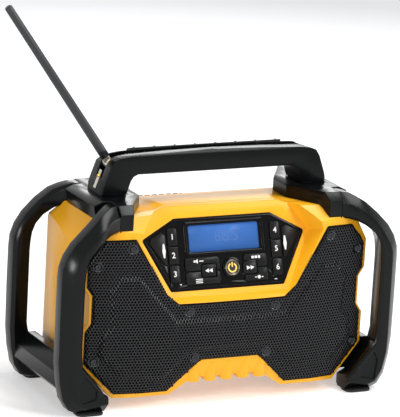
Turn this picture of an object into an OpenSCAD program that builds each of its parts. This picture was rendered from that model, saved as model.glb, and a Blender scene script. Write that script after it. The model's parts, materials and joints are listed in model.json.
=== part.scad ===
// Jobsite radio: moulded housing in a four-bar roll cage, with carrying handle and folding antenna.
// Millimetres. X to the right, Y to the back, Z up. The origin is on the ground, midway between the feet.

/* [Housing] */
// Width across the widest part of the housing
housing_w = 374; // [366:1:376]
// Height of the underside above the ground
housing_base = 15; // [13:0.5:18]
// Height of the top of the housing
housing_top = 238; // [236:0.5:241]
// Distance from the origin to the foremost line of the housing
housing_front = 88; // [85:0.5:90]
// Distance from the origin to the rear face of the housing
housing_rear = 75; // [72:0.5:79]
// Wall thickness of the two shells
wall = 3; // [2:0.1:4]
// Radius of the bowed front, seen from above
bow_r = 800; // [600:10:1500]
// Depth of the waist recess along both sides
waist_depth = 8; // [4:0.5:12]
// Distance from the origin forwards to the joint between the shells
parting = 34; // [30:0.5:36]
// Number of upright ribs under the grille
rib_count = 5; // [3:1:7]
// Spacing of the upright ribs
rib_pitch = 22; // [18:0.1:22.4]

/* [Speaker grille] */
// Thickness of the grille moulding
grille_t = 3; // [2:0.1:4]
// Height of the raised fields above the grille
emboss_h = 2.4; // [1:0.1:3]
// Diameter of one sound hole
hole_d = 4.8; // [3:0.1:5.4]
// Spacing of the sound holes
hole_pitch = 8; // [7.5:0.1:12]
// Diameter of the head of a grille screw
screw_d = 7; // [5:0.1:9]

/* [Speakers] */
// Distance of each speaker axis from the middle
speaker_x = 118; // [115:0.5:121]
// Height of the speaker axes
speaker_z = 100; // [96:0.5:104]
// Diameter of the sound opening
speaker_d = 80; // [70:1:84]
// Depth of a speaker behind its flange
speaker_depth = 44; // [34:1:50]
// Diameter of a speaker magnet
magnet_d = 52; // [40:1:60]

/* [Control panel] */
// Lean of the panel from upright
panel_tilt = 19; // [17:0.5:21]
// Height of the lower edge of the panel face
panel_z = 140.5; // [140:0.5:142]
// Distance from the origin forwards to the lower edge of the panel face
panel_front = 72.5; // [70:0.5:74]
// Height of the panel, up its slope
panel_h = 87; // [84:0.5:90]
// Half the width of the panel along its lower edge
panel_low = 75; // [73:0.5:76]
// Half the width of the panel from tip to tip
panel_wide = 107.5; // [106:0.5:109]
// Half the width of the panel along its upper edge
panel_top = 64; // [62:0.5:66]
// Thickness of the panel
panel_t = 4; // [3:0.1:5]
// Width of the display window
lcd_w = 93; // [84:0.5:95]
// Height of the display window
lcd_h = 33; // [28:0.5:34]
// Gap around a key in its hole
key_gap = 0.4; // [0.3:0.05:0.6]
// How far a key stands out of the panel
key_rise = 1.4; // [1:0.1:2.5]
// How far a key goes in when it is pressed
key_travel = 1.2; // [0.6:0.1:1.4]
// Diameter of the power button
power_d = 19.6; // [16:0.2:21]

/* [Roll cage] */
// Width across the cage
cage_w = 444; // [438:1:456]
// Depth across the cage
cage_d = 190; // [184:1:200]
// Depth of one bar, front to back
bar_d = 32; // [28:1:36]
// Width of the chamfer along the outer edge of a bar
bar_chamfer = 12; // [6:0.5:14]
// Height of the top of the shoulders
shoulder_z = 250; // [248:0.5:253]
// Height of the underside of the foot rails
rail_z = 24; // [20:0.5:27]
// Thickness of the rubber feet
foot_t = 3; // [2:0.1:5]

/* [Handle] */
// Height of the top of the handle
handle_top = 299; // [296:0.5:303]
// Height of the grip bar
grip_h = 25; // [24:0.5:26]
// Depth of the handle, front to back
handle_d = 44; // [40:0.5:47]
// Width of the channel that takes the folded antenna
channel_w = 16; // [15:0.5:18]
// Thickness of the rubber grip
rubber_t = 4; // [3:0.1:5]
// Spacing of the grip ribs
grip_rib_pitch = 27; // [20:0.5:30]

/* [Antenna] */
// Length of the antenna from its hinge to its tip
antenna_l = 240; // [220:1:244]
// Diameter of the antenna
antenna_d = 10.4; // [9:0.1:10.8]
// Lean of the raised antenna to the left
antenna_lean = 35.5; // [20:0.5:40]
// Diameter of the hinge pin
antenna_pin_d = 4; // [3:0.1:5]

/* [Battery bay] */
// Width of the battery bay
bay_w = 96; // [90:1:100]
// Height of the battery bay
bay_h = 132; // [124:1:136]
// Depth of the battery bay
bay_d = 50; // [44:1:51]
// Height of the lower edge of the bay
bay_z = 64; // [62:0.5:66]
// Thickness of the door
door_t = 4; // [3:0.1:5]
// Width of the rim that the door rests on
door_rim = 6; // [5:0.5:8]
// Diameter of the door's hinge pin
door_pin_d = 2; // [1.6:0.1:2.4]
// Width of the latch
latch_w = 58; // [40:1:60]

/* [Fits] */
// Gap between parts that don't touch
gap = 0.3; // [0.2:0.05:0.4]
// Radial play of a hinge pin in its knuckle
pin_play = 0.05; // [0.02:0.01:0.08]

/* [Hidden] */
$fn = 64;
far = 300;
housing_x = housing_w / 2;
cage_x = cage_w / 2;
cage_y = cage_d / 2;

// ---------------------------------------------------------------- shared outlines

// A right half outline closed by its mirror image.
module mirrored(half) polygon(concat(half, [for (i = [len(half) - 1 : -1 : 0]) [-half[i][0], half[i][1]]]));

// Rounds the corners of an outline, the outer and the inner ones.
module rounded(r) offset(-r, $fn = 32) offset(2 * r, $fn = 32) offset(-r, $fn = 32) children();

// Extrudes an outline drawn in X and Z from y0 back to y1.
module along_y(y0, y1) translate([0, y1, 0]) rotate([90, 0, 0]) linear_extrude(y1 - y0) children();

// Extrudes an outline drawn in Y and Z across the middle.
module along_x(length) rotate([90, 0, 90]) linear_extrude(length, center = true) children();

module both_sides() { children(); mirror([1, 0, 0]) children(); }

// The middle of the top stands this much above its ends.
hump_h = 5;

// The housing seen from the front: octagonal, with a waist recess and an arch below.
module housing_outline() mirrored([
    [45, housing_base + 20], [75, housing_base], [housing_x - 40, housing_base], [housing_x, housing_base + 43],
    [housing_x, 96], [housing_x - waist_depth, 107], [housing_x - waist_depth, 142], [housing_x, 153],
    [housing_x, 188], [housing_x - 23, housing_top - 11], [housing_x - 31, housing_top - hump_h - 1],
    [86, housing_top - hump_h], [72, housing_top]]);

// The housing seen from the side, grown outwards by grow.
module housing_side(grow) offset(delta = grow) polygon([
    [-housing_front + 9, housing_base], [-housing_front + 1, 60], [-housing_front, 100],
    [-housing_front + 2, 212], [-57, housing_top - 5], [-32, housing_top], [6, housing_top - 2],
    [slope_foot[0] - slope_run, slope_foot[1] + slope_run], slope_foot, [housing_rear, slope_foot[1] - 4],
    [housing_rear, 46], [housing_rear - 14, housing_base]]);

// The housing seen from above, with a bowed front and sides that draw in towards the back.
module housing_plan(grow) intersection() {
    translate([0, bow_r - housing_front]) circle(bow_r + grow, $fn = 180);
    mirrored([[housing_x + grow, -far], [housing_x + grow, -50], [housing_x - 12 + grow, housing_rear + grow],
        [housing_x - 12 + grow, far]]);
}

// The smooth form of the housing before its outline is cut.
module housing_form(grow) intersection() {
    along_x(2 * far) housing_side(grow);
    linear_extrude(far) housing_plan(grow);
}

// Places children on the panel: X across, Y up the slope, Z out of its face.
module on_panel(w = 0) translate([0, -panel_front, panel_z]) rotate([90 - panel_tilt, 0, 0])
    translate([0, 0, w]) children();

panel_elbow = panel_h - 23.5;
panel_outline_half = [[panel_low, 0], [panel_wide, panel_elbow], [panel_top, panel_h]];
module panel_outline(grow) offset(delta = grow) rounded(3) mirrored(panel_outline_half);

// The V-shaped recess that runs from the grille down to the panel.
module funnel_floor(grow) offset(delta = grow) mirrored([[panel_low + 5, -7], [panel_wide + 6, panel_elbow],
    [panel_top + 12, panel_h + 29]]);
module funnel(grow) hull() {
    on_panel(-0.01) linear_extrude(0.01) funnel_floor(grow);
    translate([0, -housing_front - 3, 0]) rotate([90, 0, 0]) linear_extrude(0.01) offset(delta = grow)
        mirrored([[62, 126], [70, 128.5], [85, 140], [125, 211], [107, housing_top + 12]]);
}

// ---------------------------------------------------------------- housing

bay_y = housing_rear - bay_d;
door_w = bay_w + 2 * door_rim;
door_h = bay_h + 2 * door_rim;
door_z = bay_z - door_rim;
seal_t = 2;
rim_y = housing_rear - door_t - seal_t - gap;
// The slope above the door, at 45 degrees, which carries the latch.
slope_foot = [housing_rear - 3, door_z + door_h + 5];
slope_run = 19;
hinge_y = housing_rear - door_t / 2;
hinge_z = door_z + door_t / 2 + gap + 0.1;
speaker_seat = housing_front - 20;
shell_screw_at = [[150, 40], [150, 200], [62, 42]];
shell_screw_d = 8;
shell_head_y = -parting + 16;
shell_shank = 30;
board_y = bay_y - wall - 8;

// The skin of the housing between two values of Y, with a plain butt joint where the shells meet.
module housing_skin(y0, y1) difference() {
    intersection() {
        housing_form(0);
        along_y(y0, y1) housing_outline();
    }
    intersection() {
        housing_form(-wall);
        along_y(-far, far) offset(delta = -wall) housing_outline();
    }
}

// What stands on the inside of the skin reaches halfway into it.
module inside_skin(y0, y1) intersection() {
    housing_form(-wall / 2);
    along_y(y0, y1) offset(delta = -wall / 2) housing_outline();
    union() children();
}

module front_shell() color("goldenrod") difference() {
    union() {
        housing_skin(-far, -parting);
        inside_skin(-far, -parting) {
            funnel(wall);
            on_panel(-panel_t - wall) linear_extrude(panel_t + wall) funnel_floor(wall);
            shell_screw_bosses();
            both_sides() translate([speaker_x, -speaker_seat, speaker_z]) rotate([90, 0, 0])
                cylinder(r = speaker_d / 2 + 7, h = far);
        }
        front_ribs();
    }
    funnel(0);
    on_panel(-panel_t) linear_extrude(far) panel_outline(gap);
    on_panel(-far / 4) linear_extrude(far / 2) panel_outline(-3);
    both_sides() translate([speaker_x, 0, speaker_z]) rotate([90, 0, 0]) cylinder(r = speaker_d / 2, h = far);
    grille_screw_places() cylinder(r = screw_d / 4 + gap, h = 14, center = true);
    shell_screw_places() cylinder(d = 4.4, h = 2 * shell_shank + 2, center = true);
}

module shell_screw_bosses() along_y(-far, far) both_sides() for (p = shell_screw_at) translate(p)
    circle(shell_screw_d / 2 + wall);

// Upright finger ribs on the arch under the grille.
module front_ribs() intersection() {
    along_y(-housing_front - 3, -parting) difference() {
        translate([-rib_pitch * rib_count / 2, housing_base + 15]) square([rib_pitch * rib_count, 24]);
        for (i = [0 : rib_count]) translate([(i - rib_count / 2) * rib_pitch, housing_base + 14])
            circle(4.5, $fn = 32);
        offset(delta = gap) grille_outline();
    }
    union() for (i = [0 : rib_count - 1])
        translate([(i - (rib_count - 1) / 2) * rib_pitch, -housing_front + 11, housing_base + 14])
            cylinder(r = rib_pitch / 2 - 1.5, h = 26);
}

module rear_shell() color("goldenrod") difference() {
    union() {
        housing_skin(-parting, far);
        inside_skin(-parting, far) {
            bay_block();
            shell_screw_bosses();
            cage_screw_places() cylinder(d = 10, h = cage_screw_l + 2);
        }
        for (x = [-1, 1], z = [0, 1]) translate([x * 36, bay_y - wall + 0.01, 84 + z * 90])
            rotate([90, 0, 0]) cylinder(d = 7, h = bay_y - wall - board_y);
    }
    bay_space();
    shell_screw_places() cylinder(d = shell_screw_d + 2 * gap, h = far);
    shell_screw_places() cylinder(d = 4.4, h = 2 * shell_shank, center = true);
    cage_screw_places() cylinder(d = 4.4, h = cage_screw_l + 1);
    door_hinge_space();
    latch_space();
}

// The walls of the battery bay, grown into the rear shell.
module bay_block() translate([-bay_w / 2 - door_rim - wall, bay_y - wall, door_z - wall])
    cube([door_w + 2 * wall, far, door_h + 2 * wall]);

module bay_space() {
    translate([-bay_w / 2, bay_y, bay_z]) cube([bay_w, far, bay_h]);
    translate([-door_w / 2 - gap, rim_y, door_z - gap]) cube([door_w + 2 * gap, far, door_h + 2 * gap]);
}

module door_hinge_space() translate([0, hinge_y, hinge_z]) rotate([0, 90, 0])
    cylinder(r = door_pin_d / 2 + 0.02, h = door_w + 2 * wall - 1, center = true);

// Places children on the slope above the door: X across, Y up the slope, Z out of it.
module on_slope() translate([latch_x, slope_foot[0], slope_foot[1]]) rotate([-45, 0, 0]) mirror([0, 1, 0])
    children();

module latch_space() on_slope() translate([-latch_w / 2 - gap, -4, -latch_sink])
    cube([latch_w + 2 * gap, latch_l + latch_travel + 4 + gap, far]);

// ---------------------------------------------------------------- grille

// The grille follows the housing outline, opens in a V around the panel and arches at the bottom.
grille_base = housing_base + 5;
grille_half = [[37, 58], [44, 53], [78, grille_base], [housing_x - 41, grille_base], [housing_x - 4, 58],
    [housing_x - 4, 97], [housing_x - 3 - waist_depth, 108], [housing_x - 3 - waist_depth, 142],
    [housing_x - 4, 152], [housing_x - 4, 184], [housing_x - 8, 191], [housing_x - 24, 209.5], [127, 210.5],
    [86, 142], [70, 129]];
module grille_outline() rounded(2) mirrored(grille_half);

module grille_skin(inner, outer) difference() {
    housing_form(outer);
    housing_form(inner);
}

// One staggered field of sound holes in front of a speaker.
module hole_field() {
    rows = floor(speaker_d / 2 / (hole_pitch * 0.866));
    for (row = [-rows : rows], col = [-rows - 1 : rows + 1]) {
        x = (col + (row % 2 == 0 ? 0 : 0.5)) * hole_pitch;
        z = row * hole_pitch * 0.866;
        if (norm([x, z]) < speaker_d / 2 - hole_d / 2 - 1) translate([x, z]) circle(d = hole_d, $fn = 24);
    }
}

// The raised fields: one in front of each speaker, joined by a band across the middle.
emboss_half = [[46, 71], [58, 65], [86, grille_base + 17], [housing_x - 49, grille_base + 19],
    [housing_x - 18, 69], [housing_x - 22, 94], [housing_x - 33, 105], [housing_x - 29, 147],
    [housing_x - 42, 166], [121, 166], [72, 111]];
module emboss_outline(inset) offset(delta = -inset) mirrored(emboss_half);

module speaker_grille() color("dimgray") difference() {
    union() {
        intersection() {
            grille_skin(0.2, grille_t);
            along_y(-far, -parting) grille_outline();
        }
        intersection() {
            grille_skin(grille_t - 1, grille_t + emboss_h / 2);
            along_y(-far, -parting) emboss_outline(0);
        }
        intersection() {
            grille_skin(grille_t - 1, grille_t + emboss_h);
            along_y(-far, -parting) emboss_outline(2);
        }
    }
    along_y(-far, -parting) both_sides() translate([speaker_x, speaker_z]) hole_field();
    grille_screw_places() cylinder(d = screw_d + 2 * gap, h = 30);
    grille_screw_places() cylinder(d = screw_d / 2 + 2 * gap, h = 30, center = true);
}

// Each screw sits square to Y, its head let into the grille.
screw_at = [[131, 199], [172, 178], [57, 119], [48, 62], [172, 61]];
function bow(x) = bow_r - sqrt(bow_r * bow_r - x * x);
function lean(z) = z < 60 ? 1 + (60 - z) * 0.178 : z < 100 ? (100 - z) * 0.025 : (z - 100) * 0.018;
module grille_screw_places() both_sides() for (p = screw_at)
    translate([p[0], -housing_front + max(bow(p[0]), lean(p[1])) - 1, p[1]]) rotate([90, 0, 0]) children();

module cross_recess(d) for (a = [0, 90]) rotate(a) translate([-d / 4, -0.6, 0]) cube([d / 2, 1.2, 5]);

module grille_screws() color("silver") grille_screw_places() difference() {
    union() {
        cylinder(d = screw_d, h = 2.4);
        translate([0, 0, -6]) cylinder(d = screw_d / 2, h = 7);
    }
    translate([0, 0, 1.4]) cross_recess(screw_d);
}

module shell_screw_places() both_sides() for (p = shell_screw_at)
    translate([p[0], shell_head_y, p[1]]) rotate([-90, 0, 0]) children();

// Long screws at the foot of deep wells in the rear shell. They run into bosses in the front shell.
module shell_screws() color("silver") shell_screw_places() difference() {
    union() {
        translate([0, 0, 0.1]) cylinder(d = shell_screw_d, h = 3);
        translate([0, 0, -shell_shank]) cylinder(d = 4, h = shell_shank + 1);
    }
    translate([0, 0, 1.9]) cross_recess(shell_screw_d);
}

// ---------------------------------------------------------------- speakers

module speaker_place() translate([speaker_x, -speaker_seat, speaker_z]) rotate([-90, 0, 0]) children();

module speaker_frame_left() mirror([1, 0, 0]) speaker_frame_right();
module speaker_frame_right() color("darkslategray") speaker_place() rotate_extrude() polygon([
    [speaker_d / 2 - 1, 0], [speaker_d / 2 + 5, 0], [speaker_d / 2 + 5, 3], [speaker_d / 2 + 2, 3],
    [magnet_d / 2 - 2, speaker_depth - 18], [magnet_d / 2, speaker_depth - 18], [magnet_d / 2, speaker_depth],
    [0, speaker_depth], [0, speaker_depth - 16], [magnet_d / 2 - 6, speaker_depth - 18],
    [speaker_d / 2 - 3, 3], [speaker_d / 2 - 1, 3]]);

// Paper cone with a half-round rubber surround and a dust cap, as one moulded diaphragm.
module speaker_cone_left() mirror([1, 0, 0]) speaker_cone_right();
module speaker_cone_right() color("black") speaker_place() rotate_extrude() polygon(concat(
    [[0, speaker_depth - 22], [8, speaker_depth - 24], [9, speaker_depth - 20], [speaker_d / 2 - 12, 5],
        [speaker_d / 2 - 10, 2.6]],
    [for (a = [150 : -30 : 30]) [speaker_d / 2 - 6.5 + 4.5 * cos(a), 1 - 3 * sin(a) + 2]],
    [[speaker_d / 2 - 1.2, 1.5], [speaker_d / 2 - 1.2, 2.9], [speaker_d / 2 - 4, 2.9]],
    [for (a = [30 : 30 : 150]) [speaker_d / 2 - 6.5 + 3 * cos(a), 2.5 - 2 * sin(a) + 2]],
    [[speaker_d / 2 - 12, 6.5], [8, speaker_depth - 18.5], [0, speaker_depth - 18.5]]));

// ---------------------------------------------------------------- control panel

// The key block stands under the display, with the spare height of the panel shared out around both.
key_block_h = 32;
row_gap = (panel_h - lcd_h - key_block_h) / 3.4;
lcd_at = [0, 2 * row_gap + key_block_h + lcd_h / 2];
power_at = [7.2, row_gap + 17.5];
preset_w = 12.6;
preset_len = 20.4;
preset_x = lcd_w / 2 + 7 + 8.5 + preset_w / 2;
preset_v = [for (i = [1, 0, -1]) panel_h / 2 - 0.5 + i * (preset_len + 1.9)];
rocker_x = preset_x + preset_w / 2 + 3;
rocker_outline_at = [[rocker_x, -34.5], [rocker_x, 4.5], [rocker_x + 5, 7.5], [panel_wide - 11, 1],
    [panel_wide - 9, -4.5]];
seek_back_at = [-23.8, row_gap + 16];
seek_forward_at = [31, row_gap + 16];
seek_size = [17.5, 14];
flange = 0.7;
flange_t = 1.4;
rocker_lift = 1.2;
mat_face = panel_t + gap + 0.1 + flange_t + max(key_travel, 1.4) + 0.5;
mat_t = 1.3;
post_at = [[57.5, 6], [57.5, panel_h - 6]];
post_r = 2.2;

module rounded_rect(size, r) offset(r, $fn = 32) square([size[0] - 2 * r, size[1] - 2 * r], center = true);

module preset_outline(n) translate([(n > 2 ? 1 : -1) * preset_x, preset_v[n % 3]])
    rounded_rect([preset_w, preset_len], n % 3 == 1 ? 0.6 : 2.5);

module seek_back_outline() translate(seek_back_at) rounded_rect(seek_size, 2.5);
module seek_forward_outline() difference() {
    translate(seek_forward_at) rounded_rect(seek_size, 2.5);
    translate(power_at) circle(ring_r + 1);
}
ring_r = power_d / 2 + 2.6;
key_web = 2;

// The soft corner keys wrap around the seek keys and the power ring.
corner_h = (key_block_h - key_web) / 2;
module corner_outline(x0, x1, row, seek) difference() {
    translate([(x0 + x1) / 2, row_gap + corner_h / 2 + row * (corner_h + key_web)])
        rounded_rect([x1 - x0, corner_h], 3);
    translate(seek) rounded_rect(seek_size + 2 * key_web * [1, 1], 3);
    translate(power_at) circle(ring_r + 1.6);
}
module mute_outline() corner_outline(-54, -9.2, 1, seek_back_at);
module menu_outline() corner_outline(-54, -9.2, 0, seek_back_at);
module mode_outline() corner_outline(23.8, 54, 1, seek_forward_at);
module light_outline() corner_outline(23.8, 54, 0, seek_forward_at);
module rocker_outline() translate([0, panel_elbow]) rounded(1.5) polygon(rocker_outline_at);
module lcd_outline() translate(lcd_at) rounded_rect([lcd_w, lcd_h], 3);

module panel_key_outlines() {
    for (n = [0 : 5]) preset_outline(n);
    seek_back_outline();
    seek_forward_outline();
    mute_outline();
    menu_outline();
    mode_outline();
    light_outline();
    both_sides() rocker_outline();
    translate(power_at) circle(power_d / 2);
}

module control_panel() color("black") on_panel() difference() {
    union() {
        translate([0, 0, -panel_t]) linear_extrude(panel_t) panel_outline(0);
        linear_extrude(0.6) difference() {
            panel_outline(-2);
            panel_outline(-3.2);
        }
        linear_extrude(0.8) difference() {
            translate(lcd_at) rounded_rect([lcd_w + 14, lcd_h + 9], 5);
            translate(lcd_at) rounded_rect([lcd_w + 5, lcd_h + 4], 4);
        }
        translate([power_at[0], power_at[1], 0]) cylinder(r = ring_r, h = 2);
        both_sides() for (p = post_at) translate([p[0], p[1], -mat_face - mat_t])
            cylinder(r = post_r, h = mat_face + mat_t - 1);
    }
    translate([0, 0, -panel_t - 1]) linear_extrude(panel_t + 2) lcd_outline();
    for (n = [0 : 5]) key_hole() preset_outline(n);
    key_hole() seek_back_outline();
    key_hole() seek_forward_outline();
    key_hole() mute_outline();
    key_hole() menu_outline();
    key_hole() mode_outline();
    key_hole() light_outline();
    both_sides() key_hole() rocker_outline();
    translate([power_at[0], power_at[1], -panel_t - 1]) cylinder(r = power_d / 2 + key_gap, h = panel_t + 9);
}

module key_hole() translate([0, 0, -panel_t - 1]) linear_extrude(panel_t + 2)
    offset(delta = key_gap) children();

// A key: its cap stands through the panel, and its flange stops it from behind.
module key(lift = gap + 0.1) color("black") on_panel() {
    translate([0, 0, -panel_t - lift]) linear_extrude(panel_t + lift + key_rise) children();
    translate([0, 0, -panel_t - lift - flange_t]) linear_extrude(flange_t) offset(delta = flange) children();
}
module seek_back_key() key() seek_back_outline();
module seek_forward_key() key() seek_forward_outline();
module mute_key() key() mute_outline();
module menu_key() key() menu_outline();
module mode_key() key() mode_outline();
module light_key() key() light_outline();
module preset_key_1() key() preset_outline(0);
module preset_key_2() key() preset_outline(1);
module preset_key_3() key() preset_outline(2);
module preset_key_4() key() preset_outline(3);
module preset_key_5() key() preset_outline(4);
module preset_key_6() key() preset_outline(5);
module volume_rocker() key(rocker_lift) rocker_outline();
module tune_rocker() mirror([1, 0, 0]) volume_rocker();

module power_button() color("black") on_panel() translate([power_at[0], power_at[1], 0]) difference() {
    union() {
        translate([0, 0, -panel_t - gap - 0.1]) cylinder(d = power_d, h = panel_t + gap + 0.1 + 2.6);
        translate([0, 0, -panel_t - gap - 0.1 - flange_t]) cylinder(d = power_d + 2 * key_gap + 1, h = flange_t);
    }
    translate([0, 0, 2]) cylinder(d1 = power_d - 5, d2 = power_d - 3, h = 1);
}

module display_lens() color("steelblue") on_panel(-panel_t) linear_extrude(panel_t - 0.4)
    offset(delta = -gap) lcd_outline();

module display_module() color("darkgreen") on_panel(-mat_face - mat_t) translate([lcd_at[0], lcd_at[1], 0])
    linear_extrude(mat_face + mat_t - panel_t - 0.1) square([lcd_w + 4, lcd_h + 3], center = true);

// The rubber mat lies under the keys and is open above, where the display stands.
module key_mat() color("gray") on_panel(-mat_face - mat_t) linear_extrude(mat_t) difference() {
    panel_outline(-7);
    translate([-lcd_w / 2 - 2 - gap, lcd_at[1] - lcd_h / 2 - 1.5 - gap])
        square([lcd_w + 4 + 2 * gap, panel_h]);
    both_sides() for (p = post_at) translate(p) circle(post_r + gap);
}

module control_board() color("darkgreen") on_panel(-mat_face - mat_t - 1.6) linear_extrude(1.6)
    panel_outline(-7);

// Main circuit board with its heat sink and capacitors.
module main_board() color("darkgreen") {
    translate([-44, board_y - 1.6, 76]) cube([88, 1.6, 106]);
    translate([-30, board_y - 15, 150]) difference() {
        cube([60, 13.4, 24]);
        for (i = [0 : 6]) translate([3 + i * 8, -1, -1]) cube([5, 11, 26]);
    }
    for (x = [-22, -4, 14]) translate([x, board_y - 1.6, 100]) rotate([90, 0, 0]) cylinder(d = 12, h = 16);
    translate([-38, board_y - 7, 120]) cube([20, 5.4, 18]);
}

// ---------------------------------------------------------------- roll cage

// The joint between each bar and its shoulder.
seam_x = 147;

// Stations around a bar, from the shoulder to the foot: an outer and an inner point in X and Z, and how far
// the bar is set back there.
bar_stations = [
    [[seam_x, shoulder_z - 1], [seam_x, 218], 20], [[157, shoulder_z - 2], [156, 217.5], 16],
    [[166, shoulder_z - 6], [165, 215.5], 10], [[cage_x - 46, shoulder_z - 12], [174, 211], 4],
    [[cage_x - 31, shoulder_z - 25], [185, 202], 0], [[cage_x - 15, shoulder_z - 41], [191.5, 193], 0],
    [[cage_x - 6, shoulder_z - 55], [194.5, 184], 0], [[cage_x - 1, shoulder_z - 69], [195.5, 174], 0],
    [[cage_x, 168], [196, 164], 0], [[cage_x, 120], [196, 118], 0], [[cage_x - 0.5, 66], [196, 76], 0],
    [[cage_x - 3, 42], [194, 63], 0], [[cage_x - 8, 20], [182, 48], 0], [[cage_x - 16, foot_t + 4], [171, 35], 0],
    [[cage_x - 26, foot_t], [166, 28], 0], [[160, foot_t], [160, 24], 0]];
bar_flare = 6;

// The section of a bar: how far across from its inner edge, and how far behind its front face.
function bar_section(width) = [[bar_flare, bar_d], [0, 3], [3, 0], [width - bar_chamfer, 0], [width, bar_chamfer],
    [width, bar_d - 4], [width - 4, bar_d]];

function bar_ring(s) = let (dir = s[0] - s[1], w = norm(dir)) [for (q = bar_section(w))
    let (p = s[1] + dir * q[0] / w) [p[0], -cage_y + s[2] + q[1], p[1]]];

module bar() {
    n = 7;
    last = len(bar_stations) - 1;
    polyhedron(points = [for (s = bar_stations) each bar_ring(s)], faces = concat(
        [[for (k = [0 : n - 1]) k]],
        [for (i = [0 : last - 1], k = [0 : n - 1]) each [
            [i * n + k, (i + 1) * n + k, i * n + (k + 1) % n],
            [(i + 1) * n + k, (i + 1) * n + (k + 1) % n, i * n + (k + 1) % n]]],
        [[for (k = [n - 1 : -1 : 0]) last * n + k]]), convexity = 6);
}

// The bars carry a recessed panel in the face of each foot.
foot_panel = [[cage_x - 46, 21], [cage_x - 26, 16], [cage_x - 23, 41], [cage_x - 29, 53], [cage_x - 47, 32]];
module front_bar_left() mirror([1, 0, 0]) front_bar_right();
module front_bar_right() color("#2a2b2d") difference() {
    bar();
    housing_space();
    along_y(-cage_y - 1, -cage_y + 2.5) rounded(2) polygon(foot_panel);
}

module rear_bar_left() mirror([1, 0, 0]) rear_bar_right();
module rear_bar_right() color("#2a2b2d") mirror([0, 1, 0]) difference() {
    bar();
    mirror([0, 1, 0]) housing_space();
    along_y(-cage_y + bar_d - 2.5, far) rounded(2) polygon(foot_panel);
}

module housing_space() intersection() {
    housing_form(gap);
    along_y(-far, far) offset(delta = gap) housing_outline();
}

// The shoulders tie both bars of a side together and carry one leg of the handle.
shoulder_low = housing_top - 28;
shoulder_y = cage_y - bar_stations[0][2];
module shoulder_left() mirror([1, 0, 0]) shoulder_right();
module shoulder_right() color("#1f2022") difference() {
    intersection() {
        translate([0, 0, shoulder_low]) linear_extrude(far) shoulder_plan();
        along_x(4 * far) mirrored([[shoulder_y, shoulder_low], [shoulder_y, shoulder_z - 10],
            [shoulder_y - 10, shoulder_z]]);
        along_y(-far, far) polygon([[90, shoulder_low], [90, shoulder_z - 6], [104, shoulder_z],
            [157, shoulder_z - 1], [168, shoulder_z - 6], [162, 216], [154, shoulder_low]]);
    }
    housing_space();
    translate([0, 0, shoulder_z - leg_sink]) linear_extrude(far) offset(delta = 0.1) leg_foot_outline();
    handle_bolt_places() cylinder(d = 5.1, h = far);
    handle_bolt_places() translate([0, 0, -far]) cylinder(d = 9.6, h = far + 4.2);
}

// Half of a shoulder seen from above, closed by its mirror image front to back.
shoulder_half = [[98, 18], [112, 40], [126, 62], [130, shoulder_y], [seam_x - 0.2, shoulder_y],
    [seam_x - 0.2, shoulder_y - bar_d - 0.2], [170, shoulder_y - bar_d - 0.2]];
module shoulder_plan() polygon(concat(shoulder_half,
    [for (i = [len(shoulder_half) - 1 : -1 : 0]) [shoulder_half[i][0], -shoulder_half[i][1]]]));

// The rail along the foot, between the front and the rear bar.
module foot_rail_left() mirror([1, 0, 0]) foot_rail_right();
module foot_rail_right() color("#2a2b2d") difference() {
    along_y(-cage_y + bar_d + 0.1, cage_y - bar_d - 0.1) polygon([
        [158, rail_z], [168, 38], [190, 62], [cage_x - 22, 62], [cage_x - 8, 48], [cage_x - 6, 32],
        [cage_x - 14, rail_z]]);
    along_y(-far, far) offset(delta = 0.5) housing_outline();
    cage_screw_places() cylinder(d = 10, h = 6, center = true);
    cage_screw_places() cylinder(d = 4.4, h = far);
}

// The screws run up through the rail into the underside of the rear shell.
cage_screw_l = 34;
module cage_screw_places() both_sides() for (y = [12 - parting, cage_y - bar_d - 10])
    translate([168, y, rail_z]) children();

module cage_screws() color("silver") cage_screw_places() difference() {
    union() {
        translate([0, 0, 0.5]) cylinder(d = 9.4, h = 2.4);
        translate([0, 0, 0.5]) cylinder(d = 4, h = cage_screw_l - 0.5);
    }
    translate([0, 0, -3]) cross_recess(9);
}

module rubber_feet() color("#151515") both_sides() front_and_back() linear_extrude(foot_t)
    translate([(158 + cage_x - 24) / 2 + 1, cage_y - bar_d / 2]) rounded_rect([cage_x - 24 - 158 - 6, bar_d - 8], 8);

module front_and_back() { children(); mirror([0, 1, 0]) children(); }

// ---------------------------------------------------------------- handle

leg_sink = 3;
grip_z = handle_top - grip_h;
leg_x = 134;
leg_w = 32;
handle_inner = [[118, shoulder_z - leg_sink], [112, grip_z - 8], [109, grip_z - 3], [103, grip_z], [0, grip_z]];
handle_outer = [[leg_x + leg_w / 2, shoulder_z - leg_sink], [148.5, 257], [142, handle_top - 24],
    [138, handle_top - 12.5], [134, handle_top - 7.5], [127, handle_top - 4.5], [112, handle_top - 2.5],
    [60, handle_top - 0.8], [0, handle_top]];
handle_y = handle_d / 2;
pivot = [-131, handle_top - 15];
channel_floor = pivot[1] - antenna_d / 2 - 0.5;
knuckle_r = 6.4;
knuckle_w = channel_w - 1.6;

module leg_foot_outline() both_sides() translate([leg_x, 0]) rounded_rect([leg_w, handle_d], 5);

module handle_outline() difference() {
    mirrored(handle_outer);
    mirrored(handle_inner);
}

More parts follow.
